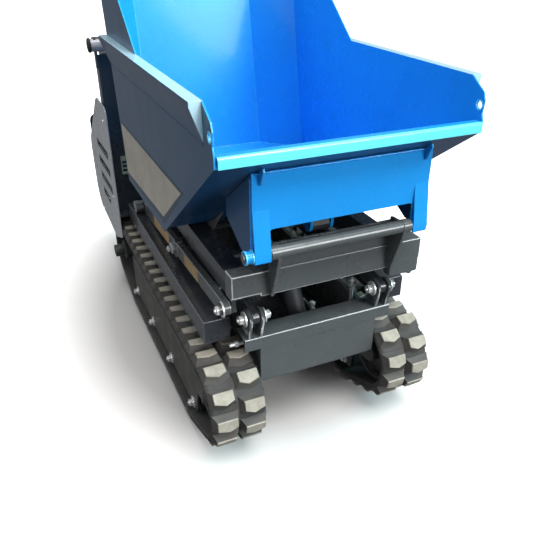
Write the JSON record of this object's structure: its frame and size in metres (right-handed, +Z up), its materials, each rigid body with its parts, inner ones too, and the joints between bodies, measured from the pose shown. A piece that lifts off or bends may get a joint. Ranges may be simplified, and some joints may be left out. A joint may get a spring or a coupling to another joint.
{
  "type": "power wheelbarrow",
  "caption": "Tracked walk-behind dumper with a blue skip that tips forward on a scissor lift, with engine housing and levers behind.",
  "frame": {"origin": "on the ground, under the middle of the whole machine with its skip down", "axes": "+Z up, -Y towards the pouring lip at the front, +X to the right of someone at the controls"},
  "size_m": [0.85, 1.9071, 1.42],
  "materials": {
    "skip_paint": "gloss blue enamel",
    "frame_grey": "satin dark grey",
    "dark_paint": "satin charcoal",
    "cover_grey": "satin mid grey",
    "track_rubber": "matt black rubber",
    "zinc": "zinc plated",
    "rod_chrome": "hard chrome",
    "engine_alloy": "dark cast alloy",
    "moulded_dark": "charcoal moulding or tank",
    "wheel_iron": "painted cast iron"
  },
  "bodies": {
    "chassis": {"chassis_frame": "frame_grey", "chassis_front_beam": "frame_grey", "chassis_channel_left": "frame_grey", "chassis_channel_right": "frame_grey", "track_frame_left": "dark_paint", "track_frame_right": "dark_paint", "rubber_track_left": "track_rubber", "rubber_track_right": "track_rubber", "drive_motor_left": "dark_paint", "drive_motor_right": "dark_paint", "rear_deck": "dark_paint", "bulkhead": "dark_paint", "engine": "engine_alloy", "hydraulic_tank": "moulded_dark", "fuel_tank": "moulded_dark", "side_cover_left": "cover_grey", "side_cover_right": "cover_grey", "control_console": "moulded_dark", "handlebar": "dark_paint"},
    "inner_arms": {"inner_arm_left": "dark_paint", "inner_arm_right": "dark_paint", "inner_cross_tube": "dark_paint", "middle_pin_left": "zinc", "middle_pin_right": "zinc"},
    "outer_arms": {"outer_arm_left": "frame_grey", "outer_arm_right": "frame_grey", "outer_cross_tube": "dark_paint"},
    "subframe": {"subframe_rail_left": "frame_grey", "subframe_rail_right": "frame_grey", "subframe_front_beam": "frame_grey", "subframe_cross_member": "frame_grey", "tilt_bracket": "frame_grey"},
    "skip": {"skip": "skip_paint", "skip_hinge_plate": "skip_paint"},
    "lift_barrel": {"lift_cylinder_barrel": "dark_paint"},
    "lift_rod": {"lift_cylinder_rod": "rod_chrome"},
    "tip_barrel": {"tip_cylinder_barrel": "dark_paint"},
    "tip_rod": {"tip_cylinder_rod": "rod_chrome"},
    "inner_roller_left": {"inner_arm_roller_left": "zinc"},
    "outer_roller_left": {"outer_arm_roller_left": "zinc"},
    "sprocket_left": {"drive_sprocket_left": "wheel_iron"},
    "idler_left": {"idler_wheel_left": "wheel_iron"},
    "roller_1_left": {"bottom_roller_1_left": "wheel_iron"},
    "roller_2_left": {"bottom_roller_2_left": "wheel_iron"},
    "roller_3_left": {"bottom_roller_3_left": "wheel_iron"},
    "roller_4_left": {"bottom_roller_4_left": "wheel_iron"},
    "inner_roller_right": {"inner_arm_roller_right": "zinc"},
    "outer_roller_right": {"outer_arm_roller_right": "zinc"},
    "sprocket_right": {"drive_sprocket_right": "wheel_iron"},
    "idler_right": {"idler_wheel_right": "wheel_iron"},
    "roller_1_right": {"bottom_roller_1_right": "wheel_iron"},
    "roller_2_right": {"bottom_roller_2_right": "wheel_iron"},
    "roller_3_right": {"bottom_roller_3_right": "wheel_iron"},
    "roller_4_right": {"bottom_roller_4_right": "wheel_iron"},
    "travel_lever_left": {"travel_lever_left": "zinc"},
    "travel_lever_right": {"travel_lever_right": "zinc"},
    "lift_lever": {"lift_lever": "zinc"},
    "tip_lever": {"tip_lever": "zinc"},
    "footboard": {"footboard": "dark_paint"}
  },
  "joints": [
    {"name": "lift", "type": "hinge", "parent": "chassis", "child": "inner_arms", "pos_m": [0, -0.78, 0.52], "axis": [1, 0, 0], "range_deg": [0, 40]},
    {"name": "scissor_cross", "type": "hinge", "parent": "inner_arms", "child": "outer_arms", "pos_m": [0, -0.29578, 0.5475], "axis": [1, 0, 0], "range_deg": [-80.5, 0.5]},
    {"name": "subframe_level", "type": "hinge", "parent": "outer_arms", "child": "subframe", "pos_m": [0, -0.78, 0.57499], "axis": [1, 0, 0], "range_deg": [-0.5, 40.5]},
    {"name": "skip_tip", "type": "hinge", "parent": "subframe", "child": "skip", "pos_m": [0, -0.89, 0.785], "axis": [1, 0, 0], "range_deg": [0, 72]},
    {"name": "lift_cylinder_swing", "type": "hinge", "parent": "chassis", "child": "lift_barrel", "pos_m": [0, -0.66, 0.33], "axis": [1, 0, 0], "range_deg": [-0.5, 25.88]},
    {"name": "lift_rod_slide", "type": "slide", "parent": "lift_barrel", "child": "lift_rod", "axis": [0, 0.6126, 0.7904], "range_m": [-0.002, 0.13251]},
    {"name": "tip_cylinder_swing", "type": "hinge", "parent": "subframe", "child": "tip_barrel", "pos_m": [0, -0.04, 0.5], "axis": [1, 0, 0], "range_deg": [-6.83, 0.5]},
    {"name": "tip_rod_slide", "type": "slide", "parent": "tip_barrel", "child": "tip_rod", "axis": [0, -0.9325, 0.3612], "range_m": [-0.002, 0.1394]},
    {"name": "inner_roller_left_spin", "type": "hinge", "parent": "inner_arms", "child": "inner_roller_left", "pos_m": [-0.2505, 0.18844, 0.57499], "axis": [1, 0, 0], "continuous": true},
    {"name": "outer_roller_left_spin", "type": "hinge", "parent": "outer_arms", "child": "outer_roller_left", "pos_m": [-0.3385, 0.18844, 0.52], "axis": [1, 0, 0], "continuous": true},
    {"name": "sprocket_left_spin", "type": "hinge", "parent": "chassis", "child": "sprocket_left", "pos_m": [-0.305, 0.43, 0.215], "axis": [1, 0, 0], "continuous": true},
    {"name": "idler_left_spin", "type": "hinge", "parent": "chassis", "child": "idler_left", "pos_m": [-0.305, -0.73, 0.215], "axis": [1, 0, 0], "continuous": true},
    {"name": "roller_1_left_spin", "type": "hinge", "parent": "chassis", "child": "roller_1_left", "pos_m": [-0.305, -0.58, 0.085], "axis": [1, 0, 0], "continuous": true},
    {"name": "roller_2_left_spin", "type": "hinge", "parent": "chassis", "child": "roller_2_left", "pos_m": [-0.305, -0.305, 0.085], "axis": [1, 0, 0], "continuous": true},
    {"name": "roller_3_left_spin", "type": "hinge", "parent": "chassis", "child": "roller_3_left", "pos_m": [-0.305, -0.03, 0.085], "axis": [1, 0, 0], "continuous": true},
    {"name": "roller_4_left_spin", "type": "hinge", "parent": "chassis", "child": "roller_4_left", "pos_m": [-0.305, 0.245, 0.085], "axis": [1, 0, 0], "continuous": true},
    {"name": "inner_roller_right_spin", "type": "hinge", "parent": "inner_arms", "child": "inner_roller_right", "pos_m": [0.2505, 0.18844, 0.57499], "axis": [1, 0, 0], "continuous": true},
    {"name": "outer_roller_right_spin", "type": "hinge", "parent": "outer_arms", "child": "outer_roller_right", "pos_m": [0.3385, 0.18844, 0.52], "axis": [1, 0, 0], "continuous": true},
    {"name": "sprocket_right_spin", "type": "hinge", "parent": "chassis", "child": "sprocket_right", "pos_m": [0.305, 0.43, 0.215], "axis": [1, 0, 0], "continuous": true},
    {"name": "idler_right_spin", "type": "hinge", "parent": "chassis", "child": "idler_right", "pos_m": [0.305, -0.73, 0.215], "axis": [1, 0, 0], "continuous": true},
    {"name": "roller_1_right_spin", "type": "hinge", "parent": "chassis", "child": "roller_1_right", "pos_m": [0.305, -0.58, 0.085], "axis": [1, 0, 0], "continuous": true},
    {"name": "roller_2_right_spin", "type": "hinge", "parent": "chassis", "child": "roller_2_right", "pos_m": [0.305, -0.305, 0.085], "axis": [1, 0, 0], "continuous": true},
    {"name": "roller_3_right_spin", "type": "hinge", "parent": "chassis", "child": "roller_3_right", "pos_m": [0.305, -0.03, 0.085], "axis": [1, 0, 0], "continuous": true},
    {"name": "roller_4_right_spin", "type": "hinge", "parent": "chassis", "child": "roller_4_right", "pos_m": [0.305, 0.245, 0.085], "axis": [1, 0, 0], "continuous": true},
    {"name": "travel_lever_left_pull", "type": "hinge", "parent": "chassis", "child": "travel_lever_left", "pos_m": [-0.18, 0.7, 0.925], "axis": [1, 0, 0], "range_deg": [-12, 12], "stiffness_Nm_per_rad": 4},
    {"name": "travel_lever_right_pull", "type": "hinge", "parent": "chassis", "child": "travel_lever_right", "pos_m": [-0.06, 0.7, 0.925], "axis": [1, 0, 0], "range_deg": [-12, 12], "stiffness_Nm_per_rad": 4},
    {"name": "lift_lever_pull", "type": "hinge", "parent": "chassis", "child": "lift_lever", "pos_m": [0.06, 0.7, 0.925], "axis": [1, 0, 0], "range_deg": [-12, 12], "stiffness_Nm_per_rad": 4},
    {"name": "tip_lever_pull", "type": "hinge", "parent": "chassis", "child": "tip_lever", "pos_m": [0.18, 0.7, 0.925], "axis": [1, 0, 0], "range_deg": [-12, 12], "stiffness_Nm_per_rad": 4},
    {"name": "footboard_fold", "type": "hinge", "parent": "chassis", "child": "footboard", "pos_m": [0, 0.9285, 0.24], "axis": [-1, 0, 0], "range_deg": [0, 90]}
  ],
  "couplings": [
    {"joint": "scissor_cross", "follows": "lift", "ratio": -2},
    {"joint": "subframe_level", "follows": "lift", "ratio": 1},
    {"joint": "lift_cylinder_swing", "follows": "lift", "ratio": 0.63442},
    {"joint": "lift_rod_slide", "follows": "lift", "m_per_rad": 0.18694},
    {"joint": "tip_cylinder_swing", "follows": "skip_tip", "ratio": -0.087918},
    {"joint": "tip_rod_slide", "follows": "skip_tip", "m_per_rad": 0.10934},
    {"joint": "idler_left_spin", "follows": "sprocket_left_spin", "ratio": 1.05},
    {"joint": "roller_1_left_spin", "follows": "sprocket_left_spin", "ratio": 3.15},
    {"joint": "roller_2_left_spin", "follows": "sprocket_left_spin", "ratio": 3.15},
    {"joint": "roller_3_left_spin", "follows": "sprocket_left_spin", "ratio": 3.15},
    {"joint": "roller_4_left_spin", "follows": "sprocket_left_spin", "ratio": 3.15},
    {"joint": "idler_right_spin", "follows": "sprocket_right_spin", "ratio": 1.05},
    {"joint": "roller_1_right_spin", "follows": "sprocket_right_spin", "ratio": 3.15},
    {"joint": "roller_2_right_spin", "follows": "sprocket_right_spin", "ratio": 3.15},
    {"joint": "roller_3_right_spin", "follows": "sprocket_right_spin", "ratio": 3.15},
    {"joint": "roller_4_right_spin", "follows": "sprocket_right_spin", "ratio": 3.15}
  ]
}
